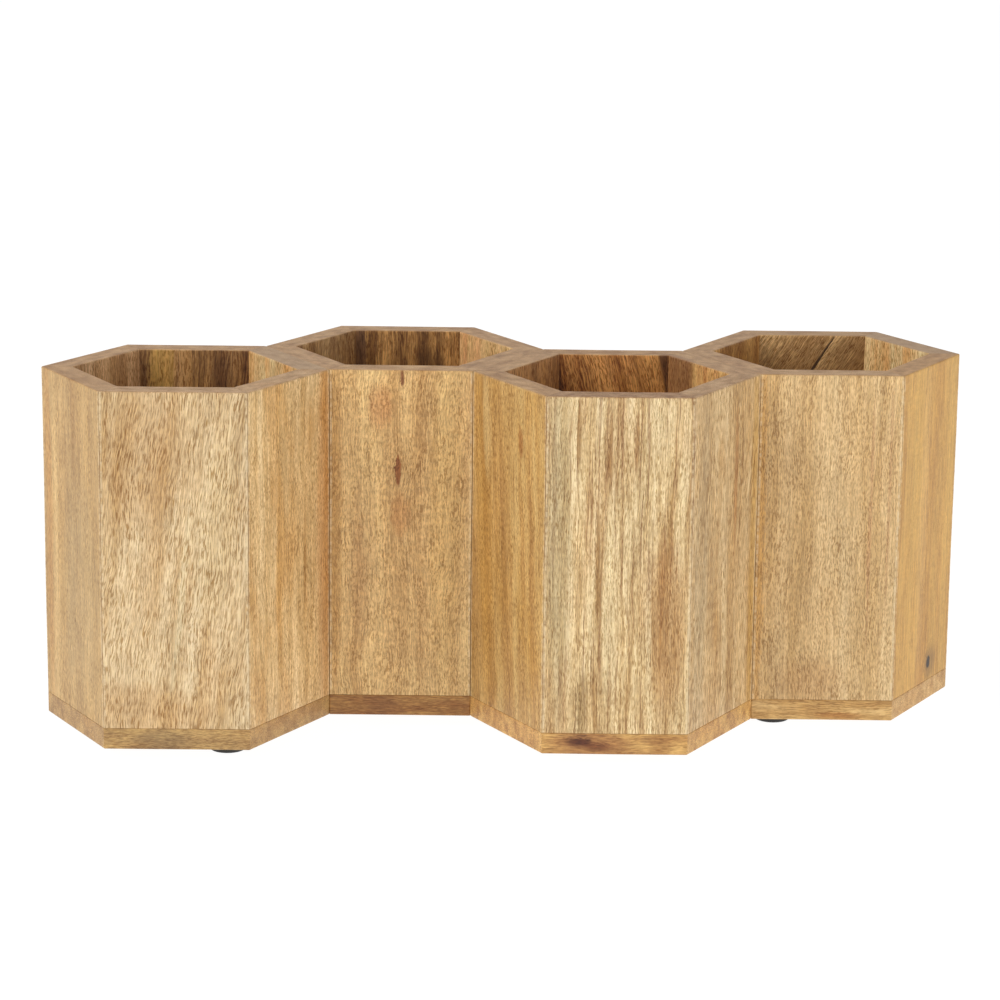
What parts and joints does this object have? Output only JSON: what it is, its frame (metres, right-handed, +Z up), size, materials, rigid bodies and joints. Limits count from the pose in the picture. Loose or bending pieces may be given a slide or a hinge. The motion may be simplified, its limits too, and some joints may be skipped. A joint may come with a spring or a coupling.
{
  "type": "utensil caddy",
  "caption": "Open-topped wooden caddy: deep hexagonal cells of mitred slats, glued side by side in a zigzag row on low rubber feet.",
  "frame": {"origin": "on the surface that the feet stand on, under the middle of the row, which is the centre of the footprint", "axes": "+X runs along the row from cell 1 to cell 4, +Y points to the back, where cells 2 and 4 stand further, and +Z points up out of the open mouths"},
  "size_m": [0.3054, 0.1222, 0.1213],
  "materials": {
    "mango_slat": "clear satin lacquer over mango wood, upright grain, colour differs from board to board",
    "mango_base": "clear satin lacquer over mango wood, level grain with end grain on the edges",
    "rubber_foot": "matt black moulded rubber"
  },
  "bodies": {
    "root": {"cell_1_front_slat": "mango_slat", "cell_1_front_right_slat": "mango_slat", "cell_1_back_right_slat": "mango_slat", "cell_1_back_slat": "mango_slat", "cell_1_back_left_slat": "mango_slat", "cell_1_front_left_slat": "mango_slat", "cell_1_base": "mango_base", "cell_2_front_slat": "mango_slat", "cell_2_front_right_slat": "mango_slat", "cell_2_back_right_slat": "mango_slat", "cell_2_back_slat": "mango_slat", "cell_2_back_left_slat": "mango_slat", "cell_2_front_left_slat": "mango_slat", "cell_2_base": "mango_base", "cell_3_front_slat": "mango_slat", "cell_3_front_right_slat": "mango_slat", "cell_3_back_right_slat": "mango_slat", "cell_3_back_slat": "mango_slat", "cell_3_back_left_slat": "mango_slat", "cell_3_front_left_slat": "mango_slat", "cell_3_base": "mango_base", "cell_4_front_slat": "mango_slat", "cell_4_front_right_slat": "mango_slat", "cell_4_back_right_slat": "mango_slat", "cell_4_back_slat": "mango_slat", "cell_4_back_left_slat": "mango_slat", "cell_4_front_left_slat": "mango_slat", "cell_4_base": "mango_base", "left_front_foot": "rubber_foot", "left_back_foot": "rubber_foot", "right_front_foot": "rubber_foot", "right_back_foot": "rubber_foot"}
  },
  "joints": []
}
